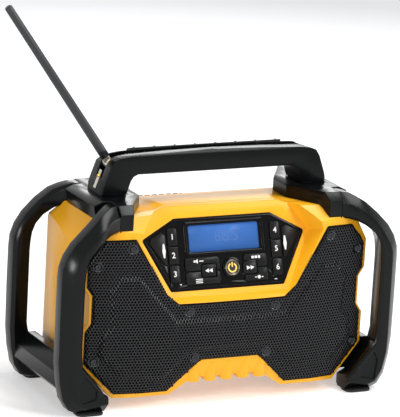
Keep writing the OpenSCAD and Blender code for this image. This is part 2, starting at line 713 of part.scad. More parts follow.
module handle_frame() color("#1c1c1c") difference() {
    intersection() {
        along_y(-handle_y, handle_y) handle_outline();
        along_x(4 * far) translate([0, (handle_top + shoulder_z - leg_sink) / 2])
            rounded_rect([handle_d, handle_top - shoulder_z + leg_sink], 4);
        union() {
            translate([0, 0, shoulder_z + gap]) linear_extrude(far) square([2 * leg_x, handle_d], center = true);
            linear_extrude(handle_top - 15) leg_foot_outline();
        }
    }
    // Channel for the folded antenna, open to the top and through the left leg.
    translate([pivot[0], -channel_w / 2, channel_floor]) cube([antenna_l + 8, channel_w, far]);
    translate([pivot[0] - 40, -channel_w / 2, pivot[1] - 16]) cube([40 + knuckle_r + 0.8, channel_w, far]);
    translate([pivot[0], 0, pivot[1]]) rotate([90, 0, 0]) {
        cylinder(r = knuckle_r + 0.8, h = channel_w, center = true);
        cylinder(d = antenna_pin_d + 0.04, h = channel_w + 14, center = true);
    }
    grip_space();
    handle_bolt_places() cylinder(d = 5.1, h = handle_bolt_l + 1);
}

// The rubber grip wraps the rear wall and the top edge of the bar.
grip_x = 100;
module grip_section() polygon([[channel_w / 2 + 1, grip_top - 4], [handle_y - rubber_t, grip_top - 4],
    [handle_y - rubber_t, grip_z + 3], [handle_y + 1, grip_z + 3], [handle_y + 1, grip_top - 3],
    [handle_y - 2, grip_top], [channel_w / 2 + 1, grip_top]]);
grip_top = handle_top + 0.5;
module grip_space() intersection() {
    along_x(2 * grip_x + 0.2) offset(delta = 0.1) grip_section();
    translate([0, 0, grip_z]) linear_extrude(far) square([4 * far, 4 * far], center = true);
}
module handle_grip() color("#101010") difference() {
    along_x(2 * grip_x) grip_section();
    for (i = [-4 : 3]) translate([(i + 0.5) * grip_rib_pitch, handle_y + 1, grip_z]) cube([2, 2, 80], center = true);
    for (i = [-4 : 3]) translate([(i + 0.5) * grip_rib_pitch, 0, grip_top + 0.2]) cube([2, 80, 1.6], center = true);
}

// Each leg is bolted down from under its shoulder, with the heads sunk into the shoulder.
handle_bolt_l = 27;
module handle_bolt_places() both_sides() for (y = [-12, 12])
    translate([leg_x, y, housing_top - hump_h + 1]) children();
module handle_bolts() color("silver") handle_bolt_places() difference() {
    union() {
        cylinder(d = 9, h = 4);
        cylinder(d = 5, h = handle_bolt_l);
    }
    translate([0, 0, -1]) cylinder(d = 4.6, h = 3, $fn = 6);
}

// ---------------------------------------------------------------- antenna

module at_pivot() translate([pivot[0], 0, pivot[1]]) rotate([0, -antenna_lean, 0]) children();

module antenna_pin() color("silver") translate([pivot[0], 0, pivot[1]]) rotate([90, 0, 0])
    cylinder(d = antenna_pin_d, h = channel_w + 13, center = true);

module antenna_knuckle() color("#26272a") at_pivot() difference() {
    union() {
        rotate([90, 0, 0]) cylinder(r = knuckle_r, h = knuckle_w, center = true);
        cylinder(r = antenna_d / 2 - 0.6, h = 11);
    }
    rotate([90, 0, 0]) cylinder(d = antenna_pin_d + 2 * pin_play, h = 40, center = true);
    translate([0, 0, 7.5]) cylinder(r = 2.5, h = 20);
}

// A sleeved whip with a short collar at its foot and a flat end.
module antenna_rod() color("#3e4043") at_pivot() union() {
    translate([0, 0, 11.1]) rotate_extrude() polygon([[0, 0], [antenna_d / 2, 0], [antenna_d / 2, 12],
        [antenna_d / 2 - 0.5, 14], [antenna_d / 2 - 0.5, antenna_l - 12.5], [antenna_d / 2 - 1.5, antenna_l - 11.1],
        [0, antenna_l - 11.1]]);
    translate([0, 0, 7.6]) cylinder(r = 2.4, h = 4);
}

// ---------------------------------------------------------------- battery door

latch_x = -33;
knuckle_at = [-30, 30];
knuckle_len = 18;
module battery_door() color("#1f2022") difference() {
    union() {
        translate([-door_w / 2 + gap, hinge_y - door_t / 2, hinge_z]) difference() {
            cube([door_w - 2 * gap, door_t, door_z + door_h - hinge_z - gap]);
            for (i = [0 : 6]) translate([14, door_t - 0.8, 20 + i * 13]) cube([door_w - 28 - 2 * gap, 2, 5]);
        }
        for (x = knuckle_at) translate([x, hinge_y, hinge_z]) rotate([0, 90, 0])
            cylinder(r = door_t / 2, h = knuckle_len, center = true);
        for (x = [-1, 1]) translate([x * (bay_w / 2 - 6) - 1.5, hinge_y - door_t / 2 - 3, bay_z + 20])
            cube([3, 4, bay_h - 40]);
    }
    translate([0, hinge_y, hinge_z]) rotate([0, 90, 0])
        cylinder(r = door_pin_d / 2 + pin_play, h = door_w + 2, center = true);
}

module door_pin() color("silver") translate([0, hinge_y, hinge_z]) rotate([0, 90, 0])
    cylinder(d = door_pin_d, h = door_w + 2 * wall - 2, center = true);

module door_seal() color("#151515") translate([0, 0, bay_z + bay_h / 2]) along_y(rim_y, rim_y + seal_t) difference() {
    square([bay_w + 2 * door_rim - 4, bay_h + 2 * door_rim - 4], center = true);
    square([bay_w + 2, bay_h + 2], center = true);
}

// A ribbed slide on the slope above the door. Pushed up the slope, it frees the head of the door.
latch_l = 20;
latch_sink = 1.4;
latch_travel = 4;
module door_latch() color("#101010") on_slope() difference() {
    translate([-latch_w / 2, -1, -latch_sink + gap]) cube([latch_w, latch_l + 1, latch_sink - gap + 5]);
    for (i = [0 : 5]) translate([-latch_w / 2 + 5.5 + i * 9.4, -2, 2.6]) cube([2.6, latch_l + 3, 4]);
}

module terminal_block() color("#151515") translate([-24, bay_y, bay_z + bay_h - 26]) difference() {
    cube([48, 16, 25.9]);
    for (i = [0 : 3]) translate([6 + i * 11 - gap, 4 - gap, -1]) cube([1.6 + 2 * gap, 8 + 2 * gap, 20]);
}

module contact_blades() color("gold") for (i = [0 : 3])
    translate([-24 + 6 + i * 11, bay_y + 4, bay_z + bay_h - 30]) cube([1.6, 8, 22.6]);

// ---------------------------------------------------------------- assembly

front_shell();
rear_shell();
speaker_grille();
grille_screws();
shell_screws();
control_panel();
display_lens();
display_module();
key_mat();
control_board();
main_board();
speaker_frame_left();
speaker_frame_right();
speaker_cone_left();
speaker_cone_right();
shoulder_left();
shoulder_right();
front_bar_left();
front_bar_right();
rear_bar_left();
rear_bar_right();
foot_rail_left();
foot_rail_right();
rubber_feet();
cage_screws();
handle_frame();
handle_grip();
handle_bolts();
antenna_pin();
antenna_knuckle();
antenna_rod();
battery_door();
door_seal();
door_pin();
door_latch();
terminal_block();
contact_blades();
power_button();
seek_back_key();
seek_forward_key();
mute_key();
menu_key();
mode_key();
light_key();
preset_key_1();
preset_key_2();
preset_key_3();
preset_key_4();
preset_key_5();
preset_key_6();
tune_rocker();
volume_rocker();
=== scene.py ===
import json
from math import cos, pi, radians, sin, sqrt
import bmesh
import bpy
from mathutils import Matrix, Vector

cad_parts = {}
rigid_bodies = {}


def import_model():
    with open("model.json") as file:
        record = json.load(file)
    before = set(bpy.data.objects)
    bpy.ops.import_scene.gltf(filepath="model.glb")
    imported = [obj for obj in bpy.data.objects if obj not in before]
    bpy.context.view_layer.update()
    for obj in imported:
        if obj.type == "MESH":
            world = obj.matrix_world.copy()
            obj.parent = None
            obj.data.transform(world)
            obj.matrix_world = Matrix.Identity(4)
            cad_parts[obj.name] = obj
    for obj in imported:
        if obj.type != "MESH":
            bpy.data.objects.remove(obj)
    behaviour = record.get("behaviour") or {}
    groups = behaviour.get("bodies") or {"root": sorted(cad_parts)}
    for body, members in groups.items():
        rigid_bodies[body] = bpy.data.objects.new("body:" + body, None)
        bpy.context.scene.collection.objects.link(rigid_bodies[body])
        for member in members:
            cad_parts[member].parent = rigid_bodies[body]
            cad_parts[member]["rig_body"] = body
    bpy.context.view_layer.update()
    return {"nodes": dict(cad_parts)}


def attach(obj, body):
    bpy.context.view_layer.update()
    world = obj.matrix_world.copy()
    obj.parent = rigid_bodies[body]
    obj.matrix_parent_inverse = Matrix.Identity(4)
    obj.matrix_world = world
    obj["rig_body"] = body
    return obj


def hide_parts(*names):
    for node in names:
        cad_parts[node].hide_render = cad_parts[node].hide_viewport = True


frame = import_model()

mm = 0.001


# ------------------------------------------------------------------ camera
# A long lens from the front left and a little above, at the height where the top face
# of the housing just shows. The view is shifted so that the radio stands left of the middle.
scene = bpy.context.scene
scene.view_settings.view_transform = "Standard"
aim = Vector((0, -92.5, 245)) * mm
yaw, pitch, roll = radians(-26.64), radians(14.66), radians(3.41)
distance = 4.457
look = Vector((-sin(yaw) * cos(pitch), cos(yaw) * cos(pitch), -sin(pitch)))
camera = bpy.data.objects.new("camera", bpy.data.cameras.new("camera"))
camera.data.sensor_fit = "HORIZONTAL"
camera.data.sensor_width = 36
camera.data.lens = 337.95
camera.data.shift_x = -0.1008
camera.data.shift_y = -0.0015
camera.data.clip_end = 30
camera.matrix_world = (Matrix.Translation(aim - look * distance)
                       @ look.to_track_quat("-Z", "Y").to_matrix().to_4x4()
                       @ Matrix.Rotation(roll, 4, "Z"))
scene.collection.objects.link(camera)
scene.camera = camera


# ------------------------------------------------------------------ floor and studio light
# A white sweep under six soft boxes: a broad one overhead, narrow ones around the front and
# at the right side, and one behind that lights the rims. The floor keeps the contact shadow.
def linear(colour):
    """An sRGB hex colour as linear RGBA."""
    parts = [int(colour[i:i + 2], 16) / 255 for i in (1, 3, 5)]
    return tuple(c / 12.92 if c <= 0.04045 else ((c + 0.055) / 1.055) ** 2.4 for c in parts) + (1,)


def add(tree, kind, inputs=None, **settings):
    """Adds one node with its settings. An input is a value, or an output socket to link."""
    made = tree.nodes.new(kind)
    for key, value in settings.items():
        setattr(made, key, value)
    for key, value in (inputs or {}).items():
        if isinstance(value, bpy.types.NodeSocket):
            tree.links.new(value, made.inputs[key])
        else:
            made.inputs[key].default_value = value
    return made


def new_material(name):
    """An empty material and its node tree."""
    made = bpy.data.materials.new(name)
    made.use_nodes = True
    made.node_tree.nodes.clear()
    return made, made.node_tree


def sees_backdrop(tree):
    """1 for camera rays and for mirrored and refracted ones, which all show the white backdrop."""
    ray = add(tree, "ShaderNodeLightPath").outputs
    seen = ray["Is Camera Ray"]
    for kind in ("Is Glossy Ray", "Is Transmission Ray"):
        seen = add(tree, "ShaderNodeMath", {0: seen, 1: ray[kind]}, operation="MAXIMUM").outputs[0]
    return seen


world = bpy.data.worlds.new("studio")
scene.world = world
world.use_nodes = True
tree = world.node_tree
tree.nodes.clear()
dim = add(tree, "ShaderNodeBackground", {"Color": linear("#F4F6FA"), "Strength": 0.3})
white = add(tree, "ShaderNodeBackground", {"Color": (1, 1, 1, 1), "Strength": 1.0})
both = add(tree, "ShaderNodeMixShader", {
    0: sees_backdrop(tree), 1: dim.outputs[0], 2: white.outputs[0]})
add(tree, "ShaderNodeOutputWorld", {"Surface": both.outputs[0]})


def soft_box(name, place, target, size, power):
    """A rectangular lamp at a place, turned to its target: metres and watts."""
    lamp = bpy.data.lights.new(name, "AREA")
    lamp.shape = "RECTANGLE"
    lamp.size, lamp.size_y = size
    lamp.energy = power
    made = bpy.data.objects.new(name, lamp)
    made.location = place
    made.rotation_euler = (Vector(target) - Vector(place)).to_track_quat("-Z", "Y").to_euler()
    scene.collection.objects.link(made)


soft_box("overhead", (0.55, -0.4, 1.95), (0, 0, 0.1), (1.0, 0.8), 24)
soft_box("front_left", (-2.1, -1.05, 0.6), (0, 0, 0.15), (0.3, 0.5), 16)
soft_box("front", (-0.7, -1.95, 1.2), (0, 0, 0.15), (0.5, 0.25), 6)
soft_box("front_right", (0.8, -1.42, 1.5), (0, 0, 0.15), (0.35, 0.6), 11)
soft_box("right_side", (1.85, -0.75, 0.4), (0, 0, 0.15), (0.25, 0.6), 8)
soft_box("rear_rim", (1.0, 1.9, 0.8), (0, 0, 0.2), (1.2, 0.4), 6)

# White painted board, which glows a little where it is seen, so that it meets the backdrop.
painted_board, tree = new_material("white_painted_board")
paint = add(tree, "ShaderNodeBsdfDiffuse", {"Color": linear("#FBFBFB")})
glow = add(tree, "ShaderNodeEmission", {"Color": (1, 1, 1, 1), "Strength": 0.38})
glowing = add(tree, "ShaderNodeAddShader", {0: paint.outputs[0], 1: glow.outputs[0]})
shown = add(tree, "ShaderNodeMixShader", {
    0: sees_backdrop(tree), 1: paint.outputs[0], 2: glowing.outputs[0]})
add(tree, "ShaderNodeOutputMaterial", {"Surface": shown.outputs[0]})
floor_half = 6
sheet = bmesh.new()
bmesh.ops.create_grid(sheet, x_segments=1, y_segments=1, size=floor_half)
floor = bpy.data.objects.new("floor", bpy.data.meshes.new("floor"))
sheet.to_mesh(floor.data)
sheet.free()
floor.data.materials.append(painted_board)
scene.collection.objects.link(floor)


# ------------------------------------------------------------------ housing
# Two shells of yellow ABS, moulded in a tool with a fine spark-eroded texture, so that the
# colour is even and the gloss is broken up. Edges carry the small radius of the mould.

# The size of the slow changes of shade, how far the roughness wanders, and the grain's depth.
shade_patch, gloss_wander, grain_depth = 60 * mm, 0.04, 0.1 * mm


def moulded(name, colour, roughness, grain, relief, spread=0.02, coat=0.0, edge=0.6 * mm, specular=0.5):
    """A moulded surface: even colour, with a grain of that size in metres that breaks the gloss."""
    made, tree = new_material(name)
    place = add(tree, "ShaderNodeTexCoord").outputs["Object"]
    cloud = add(tree, "ShaderNodeTexNoise", {"Vector": place, "Scale": 1 / shade_patch, "Detail": 3})
    shade = add(tree, "ShaderNodeMapRange", {
        "Value": cloud.outputs["Fac"], 3: 1 - spread, 4: 1 + spread})
    tint = add(tree, "ShaderNodeHueSaturation", {"Color": linear(colour), "Value": shade.outputs[0]})
    fine = add(tree, "ShaderNodeTexNoise", {"Vector": place, "Scale": 1 / grain, "Detail": 2})
    gloss = add(tree, "ShaderNodeMapRange", {
        "Value": fine.outputs["Fac"], 3: roughness - gloss_wander, 4: roughness + gloss_wander})
    soft = add(tree, "ShaderNodeBevel", {"Radius": edge}, samples=4)
    bump = add(tree, "ShaderNodeBump", {
        "Height": fine.outputs["Fac"], "Strength": relief, "Distance": grain_depth,
        "Normal": soft.outputs[0]})
    shader = add(tree, "ShaderNodeBsdfPrincipled", {
        "Base Color": tint.outputs[0], "Roughness": gloss.outputs[0], "Normal": bump.outputs[0],
        "Coat Weight": coat, "Coat Roughness": 0.08, "Specular IOR Level": specular})
    add(tree, "ShaderNodeOutputMaterial", {"Surface": shader.outputs[0]})
    return made


# Vertices closer than this are one, flatter edges are dissolved, and sharper edges are rounded.
weld, flat_angle, sharp_angle = 0.02 * mm, radians(1), radians(28)


def dressed(node, material, width=0.8 * mm, steps=2):
    """A copy of a CAD node with the small radii of its mould along its sharp edges."""
    mesh = frame["nodes"][node].data.copy()
    mesh.materials.clear()
    mesh.materials.append(material)
    form = bmesh.new()
    form.from_mesh(mesh)
    bmesh.ops.remove_doubles(form, verts=form.verts, dist=weld)
    bmesh.ops.dissolve_limit(form, angle_limit=flat_angle, verts=form.verts, edges=form.edges)
    for face in form.faces:
        face.smooth = True
        face.material_index = 0
    form.to_mesh(mesh)
    form.free()
    made = bpy.data.objects.new(node + "_moulded", mesh)
    scene.collection.objects.link(made)
    if width:
        round_off = made.modifiers.new("mould_radius", "BEVEL")
        round_off.width = width
        round_off.segments = steps
        round_off.limit_method = "ANGLE"
        round_off.angle_limit = sharp_angle
        round_off.harden_normals = True
    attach(made, frame["nodes"][node]["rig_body"])
    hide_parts(node)
    return made


yellow_abs = moulded("spark_textured_yellow_abs", "#FCB31A", 0.38, 0.9 * mm, 0.22, specular=0.4)
dressed("front_shell", yellow_abs, width=1.4 * mm)
dressed("rear_shell", yellow_abs, width=1.2 * mm)


# ------------------------------------------------------------------ speakers and boards
# Two full-range speakers with pressed steel baskets and black paper cones sit behind the
# grille. The circuit boards hang inside the shells, with their solder mask showing green.
def painted(names, material):
    """Gives CAD nodes a material and leaves their shape as it is."""
    for name in names:
        frame["nodes"][name].data.materials.clear()
        frame["nodes"][name].data.materials.append(material)


# How far a metal's roughness wanders about its mean.
metal_wander = 0.06


def metal(name, colour, roughness, grain):
    """A bare or plated metal: its roughness wanders a little over a grain of that size in metres."""
    made, tree = new_material(name)
    place = add(tree, "ShaderNodeTexCoord").outputs["Object"]
    fine = add(tree, "ShaderNodeTexNoise", {"Vector": place, "Scale": 1 / grain, "Detail": 2})
    gloss = add(tree, "ShaderNodeMapRange", {
        "Value": fine.outputs["Fac"], 3: roughness - metal_wander, 4: roughness + metal_wander})
    shader = add(tree, "ShaderNodeBsdfPrincipled", {
        "Base Color": linear(colour), "Metallic": 1.0, "Roughness": gloss.outputs[0]})
    add(tree, "ShaderNodeOutputMaterial", {"Surface": shader.outputs[0]})
    return made


pressed_steel = metal("pressed_steel_basket", "#4A4D50", 0.4, 2 * mm)
felted_paper = moulded("black_felted_paper", "#151515", 0.8, 0.7 * mm, 0.8, spread=0.12)
solder_mask = moulded("green_solder_mask", "#17522F", 0.35, 1.5 * mm, 0.1, spread=0.1)
painted(["speaker_frame_left", "speaker_frame_right"], pressed_steel)
painted(["speaker_cone_left", "speaker_cone_right"], felted_paper)
painted(["main_board", "control_board"], solder_mask)


# ------------------------------------------------------------------ speaker grille
# One bowed sheet of black ABS, pierced all over in staggered rows. A field in front of each
# speaker stands proud, the rim rolls back to the housing, and black cloth lies behind the holes.
housing_front, bow_radius = 88 * mm, 800 * mm
# Heights on the front of the housing, and how far it has leaned back there, in millimetres.
lean_at = [(15, 9), (60, 1), (100, 0), (212, 2), (233, 31), (238, 56)]
# The right halves of the rim and of the raised field, across and up, in millimetres.
rim_half = [(37, 58), (44, 53), (78, 20), (146, 20), (183, 58), (183, 97), (176, 108), (176, 142),
            (183, 152), (183, 184), (179, 191), (163, 209.5), (127, 210.5), (86, 142), (70, 129)]
field_half = [(46, 71), (58, 65), (86, 37), (138, 39), (169, 69), (165, 94), (154, 105), (158, 147),
              (145, 166), (121, 166), (72, 111)]
# The sheet's thickness, a field's height and the width of its slope, and the same for the rim.
grille_t = 3.0 * mm
field_h, ramp_w = 3.4 * mm, 5.4 * mm
roll_h, roll_w = 2.2 * mm, 5 * mm


def front_face(x, z):
    """Where the front of the housing lies in Y, by its bow from above and its lean from the side."""
    bow = bow_radius - sqrt(bow_radius ** 2 - x * x)
    for (z0, y0), (z1, y1) in zip(lean_at, lean_at[1:]):
        if z <= z1 * mm:
            break
    lean = (y0 + (y1 - y0) * (z / mm - z0) / (z1 - z0)) * mm
    return max(bow, lean) - housing_front


def closed(half):
    """A right half outline in millimetres, closed by its mirror image, in metres."""
    return [Vector((x, z)) * mm for x, z in half] + [Vector((-x, z)) * mm for x, z in reversed(half)]


def inside(outline, point):
    """Whether a point lies inside the outline: an odd number of edges then lie to its right."""
    odd = False
    for a, b in zip(outline, outline[1:] + outline[:1]):
        level = (a.y > point.y) != (b.y > point.y)
        if level and point.x < a.x + (point.y - a.y) * (b.x - a.x) / (b.y - a.y):
            odd = not odd
    return odd


def to_edge(outline, point):
    """Distance from a point to the outline."""
    nearest = 1.0
    for a, b in zip(outline, outline[1:] + outline[:1]):
        along = b - a
        t = min(max((point - a).dot(along) / along.length_squared, 0), 1)
        nearest = min(nearest, (point - a - along * t).length)
    return nearest


rim, field = closed(rim_half), closed(field_half)
screw_at = [Vector((side * x, z)) * mm for side in (-1, 1)
            for x, z in ((131, 199), (172, 178), (57, 119), (48, 62), (172, 61))]


def proud(x, z):
    """How far the sheet stands off the housing: raised fields, and a rim that rolls back."""
    point = Vector((x, z))
    edge = to_edge(rim, point) / roll_w
    height = grille_t - (roll_h * (1 - edge) ** 2 if edge < 1 else 0)
    if inside(field, point):
        height += field_h * min(to_edge(field, point) / ramp_w, 1)
    return height


def outline_face(form, outline):
    """One flat face in the XZ plane."""
    return form.faces.new([form.verts.new((p.x, 0, p.y)) for p in outline])


# Millimetres between two cuts, and for each axis the limits of the sheet.
cut_step = 8
cut_span = ((0, -184, 184), (2, 20, 211))


def cut_up(form):
    """Cuts a flat form in the XZ plane into pieces small enough to bend, across and upright."""
    for axis, low, high in cut_span:
        for at in range(low + cut_step, high, cut_step):
            place, normal = Vector(), Vector()
            place[axis], normal[axis] = at * mm, 1
            everything = form.verts[:] + form.edges[:] + form.faces[:]
            bmesh.ops.bisect_plane(form, geom=everything, plane_co=place, plane_no=normal, dist=1e-7)


def new_piece(name, form, material, body, smooth=True, replaces=None):
    """Turns a bmesh into a piece of the object that rides on a body."""
    mesh = bpy.data.meshes.new(name)
    for face in form.faces:
        face.smooth = smooth
    form.to_mesh(mesh)
    form.free()
    mesh.materials.append(material)
    made = bpy.data.objects.new(name, mesh)
    scene.collection.objects.link(made)
    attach(made, body)
    if replaces:
        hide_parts(replaces)
    return made


# The pierced sheet: a honeycomb of cells, each with a hole let into its middle. The real holes
# stand about 2.4 mm apart, which is too fine to show, so these stand wider.
pitch, hole, hole_depth = 3.9 * mm, 2.9 * mm, 1.2 * mm
rise = pitch * sqrt(3)
comb_w, comb_h, comb_foot = 374 * mm, 196 * mm, 17 * mm
columns, rows = int(comb_w / pitch) + 1, int(comb_h / rise) + 1
# The cells are a thousandth too large, so that their corners meet and are welded.
cell_r, cell_weld = pitch / sqrt(3) * 1.001, 0.05 * mm
rim_land, screw_land = 0.9 * mm, 5 * mm
form = bmesh.new()
for x, z in ((0, 0), (pitch / 2, rise / 2)):
    bmesh.ops.create_circle(form, cap_ends=True, segments=6, radius=cell_r,
                            matrix=Matrix.Translation((x, 0, z)) @ Matrix.Rotation(pi / 2, 4, "X")
                            @ Matrix.Rotation(pi / 6, 4, "Z"))
cells = bpy.data.meshes.new("cells")
form.to_mesh(cells)
form.free()
comb = bpy.data.objects.new("cells", cells)
scene.collection.objects.link(comb)
for name, count, shift in (("across", columns, (pitch, 0, 0)), ("up", rows, (0, 0, rise))):
    row = comb.modifiers.new(name, "ARRAY")
    row.count = count
    row.use_relative_offset = False
    row.use_constant_offset = True
    row.constant_offset_displace = shift
form = bmesh.new()
form.from_mesh(comb.evaluated_get(bpy.context.evaluated_depsgraph_get()).to_mesh())
bpy.data.objects.remove(comb)
bmesh.ops.translate(form, verts=form.verts, vec=(-columns * pitch / 2, 0, comb_foot))
spare = []
for face in form.faces:
    middle = face.calc_center_median().xz
    if (not inside(rim, middle) or to_edge(rim, middle) < rim_land
            or min((middle - screw).length for screw in screw_at) < screw_land):
        spare.append(face)
bmesh.ops.delete(form, geom=spare, context="FACES")
bmesh.ops.remove_doubles(form, verts=form.verts, dist=cell_weld)
for vertex in form.verts:
    x, z = vertex.co.x, vertex.co.z
    vertex.co.y = front_face(x, z) - proud(x, z)
holes = form.faces[:]
bmesh.ops.inset_individual(form, faces=holes, thickness=(pitch - hole) / 2, use_even_offset=True)
walls = bmesh.ops.extrude_discrete_faces(form, faces=holes)["faces"]
bmesh.ops.translate(form, verts=list({v for face in walls for v in face.verts}), vec=(0, hole_depth, 0))
bmesh.ops.delete(form, geom=walls, context="FACES")
bmesh.ops.recalc_face_normals(form, faces=form.faces)
pierced = bpy.data.meshes.new("pierced")
form.to_mesh(pierced)
form.free()

# Black ABS with a fine texture: satin, with bright glints at the edges of the holes. The sheet
# is kept in three pieces, so that none has too many faces.
black_abs = moulded("fine_textured_black_abs", "#16171A", 0.22, 0.6 * mm, 0.15, edge=0.1 * mm)
split, beyond = 62 * mm, 1
for name, low, high in (("left", -beyond, -split), ("middle", -split, split), ("right", split, beyond)):
    form = bmesh.new()
    form.from_mesh(pierced)
    bmesh.ops.delete(form, geom=[f for f in form.faces if not low <= f.calc_center_median().x < high],
                     context="FACES")
    new_piece("grille_sheet_" + name, form, black_abs, "radio", smooth=False,
              replaces="speaker_grille")
bpy.data.meshes.remove(pierced)

# The solid rim around the sheet, which stands a hair above it and reaches back to the housing.
rim_w, rim_above, rim_seat = 1.7 * mm, 0.12 * mm, 0.25 * mm
form = bmesh.new()
whole = outline_face(form, rim)
bmesh.ops.inset_region(form, faces=[whole], thickness=rim_w, use_even_offset=True, use_boundary=True)
bmesh.ops.delete(form, geom=[whole], context="FACES")
cut_up(form)
for vertex in form.verts:
    x, z = vertex.co.x, vertex.co.z
    vertex.co.y = front_face(x, z) - proud(x, z) - rim_above
band = bmesh.ops.extrude_face_region(form, geom=form.faces[:])
for item in band["geom"]:
    if isinstance(item, bmesh.types.BMVert):
        item.co.y = front_face(item.co.x, item.co.z) - rim_seat
bmesh.ops.recalc_face_normals(form, faces=form.faces)
new_piece("grille_rim", form, black_abs, "radio", smooth=False)

# The dished land around each screw: radius and height of its profile, from the inside outwards.
land_profile = (3.7, -1.9), (4.0, -1.6), (5.0, 0), (6.1, 0.25)
(inner_r, sunk), *outer_rings = land_profile
land_above = 0.1 * mm
for number, screw in enumerate(screw_at):
    form = bmesh.new()
    ring = bmesh.ops.create_circle(form, cap_ends=False, segments=32, radius=inner_r * mm)["verts"]
    edges = form.edges[:]
    for radius, height in outer_rings:
        grown = bmesh.ops.extrude_edge_only(form, edges=edges)["geom"]
        edges = [item for item in grown if isinstance(item, bmesh.types.BMEdge)]
        for vertex in (item for item in grown if isinstance(item, bmesh.types.BMVert)):
            vertex.co = vertex.co.normalized() * radius * mm
            vertex.co.z = height * mm
    for vertex in ring:
        vertex.co.z = sunk * mm
    for vertex in form.verts:
        x, z = screw.x + vertex.co.x, screw.y + vertex.co.y
        vertex.co = (x, front_face(x, z) - grille_t - vertex.co.z - land_above, z)
    bmesh.ops.recalc_face_normals(form, faces=form.faces)
    new_piece("screw_land_%d" % number, form, black_abs, "radio")

# Acoustic cloth, woven of matt black thread and stretched behind the holes.
thread, cloth_inset, cloth_back, cloth_above = 0.7 * mm, 0.5 * mm, 1.5 * mm, 0.3 * mm
cloth, tree = new_material("black_acoustic_cloth")
place = add(tree, "ShaderNodeTexCoord").outputs["Object"]
weave = add(tree, "ShaderNodeTexVoronoi", {"Vector": place, "Scale": 1 / thread})
bump = add(tree, "ShaderNodeBump", {
    "Height": weave.outputs["Distance"], "Strength": 0.6, "Distance": 0.2 * mm})
shader = add(tree, "ShaderNodeBsdfPrincipled", {"Base Color": linear("#050505"), "Roughness": 0.95,
                                                "Specular IOR Level": 0.2, "Normal": bump.outputs[0]})
add(tree, "ShaderNodeOutputMaterial", {"Surface": shader.outputs[0]})
form = bmesh.new()
whole = outline_face(form, rim)
bmesh.ops.inset_region(form, faces=[whole], thickness=cloth_inset, use_even_offset=True,
                       use_boundary=True)
bmesh.ops.delete(form, geom=[face for face in form.faces if face != whole], context="FACES")
cut_up(form)
for vertex in form.verts:
    x, z = vertex.co.x, vertex.co.z
    vertex.co.y = front_face(x, z) - max(proud(x, z) - cloth_back, cloth_above)
bmesh.ops.recalc_face_normals(form, faces=form.faces)
new_piece("grille_cloth", form, cloth, "radio")

blackened_steel = metal("blackened_steel", "#3A3B3D", 0.32, 1 * mm)
dressed("grille_screws", blackened_steel, width=0.3 * mm)


# ------------------------------------------------------------------ control panel
# A black ABS panel in the V of the housing, moulded in a polished tool, so that it is smooth
# and deep black. The display window is let into it, and silicone keys with printed white marks
# stand through it.
gloss_black = moulded("polished_black_abs", "#050506", 0.12, 4 * mm, 0.02, coat=0.05, edge=0.3 * mm,
                      specular=0.09)
dressed("control_panel", gloss_black, width=0.4 * mm)
soft_key = moulded("satin_black_silicone", "#0A0B0C", 0.3, 0.7 * mm, 0.1, edge=0.4 * mm, specular=0.2)
presets = ["preset_key_%d" % number for number in range(1, 7)]
keys = ["seek_back_key", "seek_forward_key", "mute_key", "menu_key", "mode_key", "light_key",
        "tune_rocker", "volume_rocker"] + presets
for key in keys:
    dressed(key, soft_key, width=0.5 * mm)
domed_abs = moulded("domed_black_abs", "#0D0D0F", 0.2, 3 * mm, 0.03, coat=0.4)
dressed("power_button", domed_abs, width=0.4 * mm)

# The size of the slow changes of an ink's shade.
ink_patch = 30 * mm


def lit(name, colour, strength, roughness=0.4, specular=0.5):
    """A printed or backlit surface: an even colour that also glows a little."""
    made, tree = new_material(name)
    place = add(tree, "ShaderNodeTexCoord").outputs["Object"]
    cloud = add(tree, "ShaderNodeTexNoise", {"Vector": place, "Scale": 1 / ink_patch, "Detail": 1})
    shade = add(tree, "ShaderNodeMapRange", {"Value": cloud.outputs["Fac"], 3: 0.94, 4: 1.06})
    tint = add(tree, "ShaderNodeHueSaturation", {"Color": linear(colour), "Value": shade.outputs[0]})
    shader = add(tree, "ShaderNodeBsdfPrincipled", {
        "Base Color": tint.outputs[0], "Roughness": roughness, "Emission Color": tint.outputs[0],
        "Emission Strength": strength, "Specular IOR Level": specular})
    add(tree, "ShaderNodeOutputMaterial", {"Surface": shader.outputs[0]})
    return made


# The display window: blue backlit glass behind clear acrylic, with faint unlit segments.
blue_display = lit("blue_backlit_display", "#3D6CB4", 0.08, roughness=0.3, specular=0.1)
dressed("display_lens", blue_display, width=0)
painted(["display_module"], moulded("display_carrier", "#20304A", 0.5, 1 * mm, 0.1))
painted(["key_mat"], moulded("grey_silicone_mat", "#4A4B4D", 0.7, 1 * mm, 0.2))

# What lies on the panel is drawn flat, from the middle of its foot, and then leant back with it.
panel_foot, panel_lean = Vector((0, -72.5, 140.5)) * mm, 19
panel_place = Matrix.Translation(panel_foot) @ Matrix.Rotation(radians(90 - panel_lean), 4, "X")


def panel_ring(name, form, width, height, material, body):
    """Turns the one flat face of a form into a half-round frame that stands on the panel."""
    whole = form.faces[:]
    bmesh.ops.inset_region(form, faces=whole, thickness=width, use_even_offset=True, use_boundary=True)
    bmesh.ops.delete(form, geom=whole, context="FACES")
    raised = bmesh.ops.extrude_face_region(form, geom=form.faces[:])["geom"]
    top = [v for v in raised if isinstance(v, bmesh.types.BMVert)]
    bmesh.ops.translate(form, verts=top, vec=(0, 0, height))
    sharp = [e for e in form.edges if all(v in top for v in e.verts) and e.calc_face_angle(0) > 1]
    bmesh.ops.bevel(form, geom=sharp, offset=min(width * 0.45, height * 0.8), offset_type="OFFSET",
                    affect="EDGES", segments=4, profile=0.5, material=-1)
    bmesh.ops.recalc_face_normals(form, faces=form.faces)
    bmesh.ops.transform(form, matrix=panel_place, verts=form.verts)
    return new_piece(name, form, material, body)


